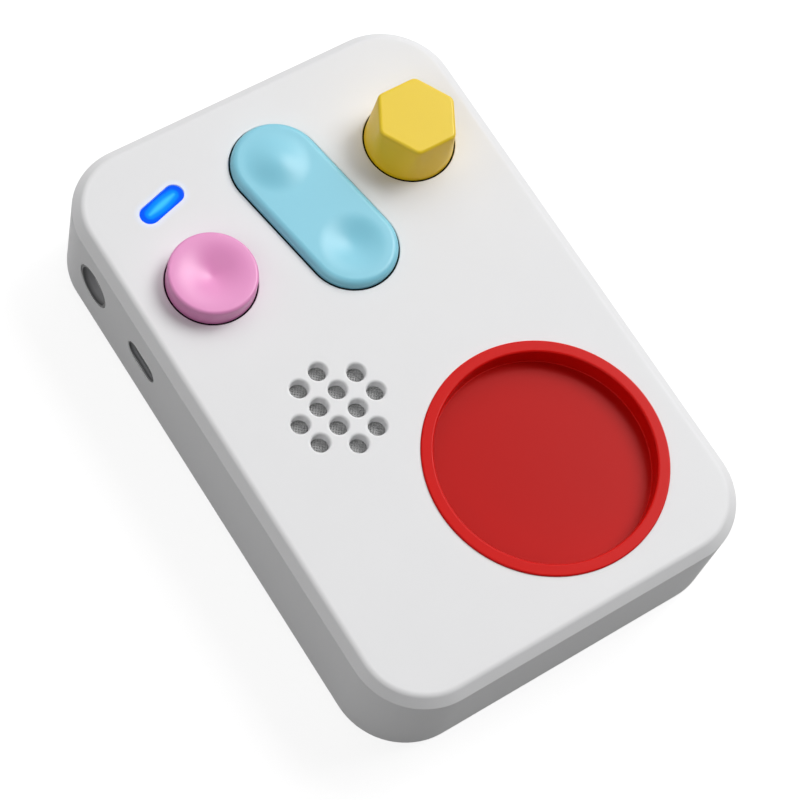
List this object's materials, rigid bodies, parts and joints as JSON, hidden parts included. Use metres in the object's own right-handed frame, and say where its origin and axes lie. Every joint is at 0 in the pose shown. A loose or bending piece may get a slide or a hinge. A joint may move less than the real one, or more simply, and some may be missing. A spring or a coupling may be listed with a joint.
{
  "type": "audio story player",
  "caption": "Palm-sized rounded box with a round push button, a tilting track rocker, a six-sided volume knob, a speaker grille, a status light and a round disc dish.",
  "frame": {"origin": "on the table, under the middle of the case; the feet stand on z = 0", "axes": "+X across the case to the disc dish side, +Y along the case towards the knob end, +Z out of the face"},
  "size_m": [0.085, 0.128, 0.0348],
  "materials": {
    "case_abs": "fine satin moulding",
    "red_abs": "fine satin moulding",
    "pink_abs": "fine satin moulding",
    "blue_abs": "fine satin moulding",
    "yellow_abs": "fine satin moulding",
    "light_blue": "polished, lit from behind",
    "port_grey": "dull moulding",
    "foot_rubber": "dull",
    "silicone": "milky",
    "screw_steel": "zinc plated",
    "pressed_steel": "pressed",
    "bush_brass": "turned",
    "copper_track": "etched copper",
    "board_laminate": "solder mask",
    "black_nylon": "moulded",
    "white_nylon": "moulded",
    "speaker_mesh": "woven",
    "black_foam": "open foam",
    "black_paper": "pressed paper",
    "ferrite": "ground",
    "battery_foil": "laminated foil"
  },
  "bodies": {
    "case": {"front_shell": "case_abs", "back_cover": "case_abs", "case_screws": "screw_steel", "rubber_feet": "foot_rubber", "disc_dish": "red_abs", "antenna_board": "board_laminate", "antenna_coil": "copper_track", "speaker_cloth": "speaker_mesh", "speaker_gasket": "black_foam", "speaker_frame": "pressed_steel", "speaker_cone": "black_paper", "speaker_magnet": "ferrite", "play_dome": "silicone", "next_dome": "silicone", "back_dome": "silicone", "rocker_pin": "pressed_steel", "encoder_body": "black_nylon", "encoder_bush": "bush_brass", "light_pipe": "light_blue", "status_lamp": "white_nylon", "main_board": "board_laminate", "board_screws": "screw_steel", "processor_chip": "black_nylon", "jack_sleeve": "port_grey", "headphone_jack": "black_nylon", "usb_sleeve": "port_grey", "usb_shell": "pressed_steel", "usb_tongue": "black_nylon", "battery": "battery_foil", "battery_pad": "black_foam", "battery_socket": "white_nylon"},
    "play_button": {"play_button": "pink_abs"},
    "track_rocker": {"track_rocker": "blue_abs"},
    "volume_knob": {"volume_knob": "yellow_abs", "encoder_shaft": "black_nylon"}
  },
  "joints": [
    {"name": "play_press", "type": "slide", "parent": "case", "child": "play_button", "axis": [0, 0, -1], "range_m": [0, 0.0012], "stiffness_N_per_m": 1200, "springref_m": -0.0004, "deforming": ["play_dome"]},
    {"name": "track_tilt", "type": "hinge", "parent": "case", "child": "track_rocker", "pos_m": [0.00075, 0.0343, 0.02], "axis": [0.9857, 0.1685, 0], "range_deg": [-3, 3], "stiffness_Nm_per_rad": 0.3, "deforming": ["next_dome", "back_dome"]},
    {"name": "volume_turn", "type": "hinge", "parent": "case", "child": "volume_knob", "pos_m": [0.0255, 0.038, 0.0105], "axis": [0, 0, 1], "continuous": true}
  ]
}
